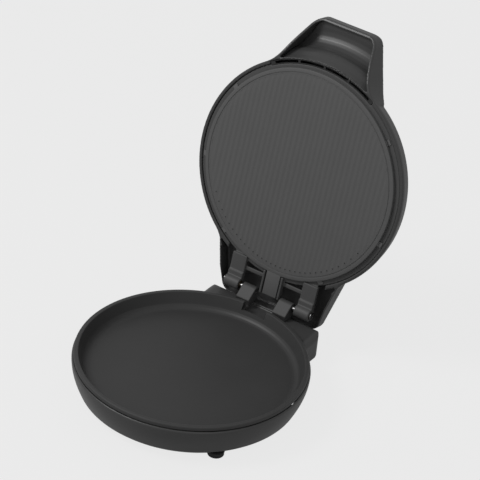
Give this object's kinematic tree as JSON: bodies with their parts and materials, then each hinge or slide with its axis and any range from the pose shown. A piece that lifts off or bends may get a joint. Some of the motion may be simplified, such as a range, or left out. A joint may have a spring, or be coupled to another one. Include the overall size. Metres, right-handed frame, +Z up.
{
  "type": "electric pizza maker",
  "caption": "Round countertop pizza maker with a non-stick pan in the base and a domed, hinged lid that carries a ribbed upper plate.",
  "frame": {"origin": "centre of the base on the plane of the feet", "axes": "+Z up, +Y towards the hinge, +X to the right of someone in front"},
  "size_m": [0.3312, 0.5052, 0.4471],
  "materials": {
    "black_plastic": "satin",
    "nonstick_plate": "satin",
    "heater_tube": "satin",
    "reflector_sheet": "satin",
    "ceramic": "matte",
    "steel": "satin",
    "rubber": "matte",
    "bush_brass": "satin",
    "red_lens": "gloss",
    "green_lens": "gloss"
  },
  "bodies": {
    "base": {"base_shell": "black_plastic", "bottom_cover": "black_plastic", "lower_pan": "nonstick_plate", "lower_element": "heater_tube", "lower_reflector": "reflector_sheet", "lower_thermostat": "ceramic", "thermal_fuse": "ceramic", "terminal_block": "ceramic", "inlet_gland": "black_plastic", "gland_nut": "black_plastic", "hinge_post_left": "black_plastic", "hinge_post_right": "black_plastic", "hinge_pin_left": "steel", "hinge_pin_right": "steel", "foot_front_left": "rubber", "foot_front_right": "rubber", "foot_rear_left": "rubber", "foot_rear_right": "rubber", "foot_screw_front_left": "steel", "foot_screw_front_right": "steel", "foot_screw_rear_left": "steel", "foot_screw_rear_right": "steel", "pan_screw_a": "steel", "pan_screw_b": "steel", "pan_screw_c": "steel"},
    "lid": {"lid_shell": "black_plastic", "lid_frame": "black_plastic", "upper_plate": "nonstick_plate", "upper_element": "heater_tube", "upper_reflector": "reflector_sheet", "upper_thermostat": "ceramic", "vent_grille": "black_plastic", "handle_liner": "black_plastic", "lamp_power": "red_lens", "lamp_ready": "green_lens", "lamp_holder": "black_plastic", "plate_clip_a": "steel", "plate_clip_b": "steel", "plate_clip_c": "steel", "plate_clip_d": "steel", "plate_clip_e": "steel", "plate_clip_f": "steel", "lid_screw_a": "steel", "lid_screw_b": "steel", "lid_screw_c": "steel", "lid_screw_d": "steel", "hinge_bush_left": "bush_brass", "hinge_bush_right": "bush_brass"}
  },
  "joints": [
    {"name": "lid_hinge", "type": "hinge", "parent": "base", "child": "lid", "pos_m": [0, 0.189, 0.063], "axis": [1, 0, 0], "range_deg": [0, 103]}
  ]
}
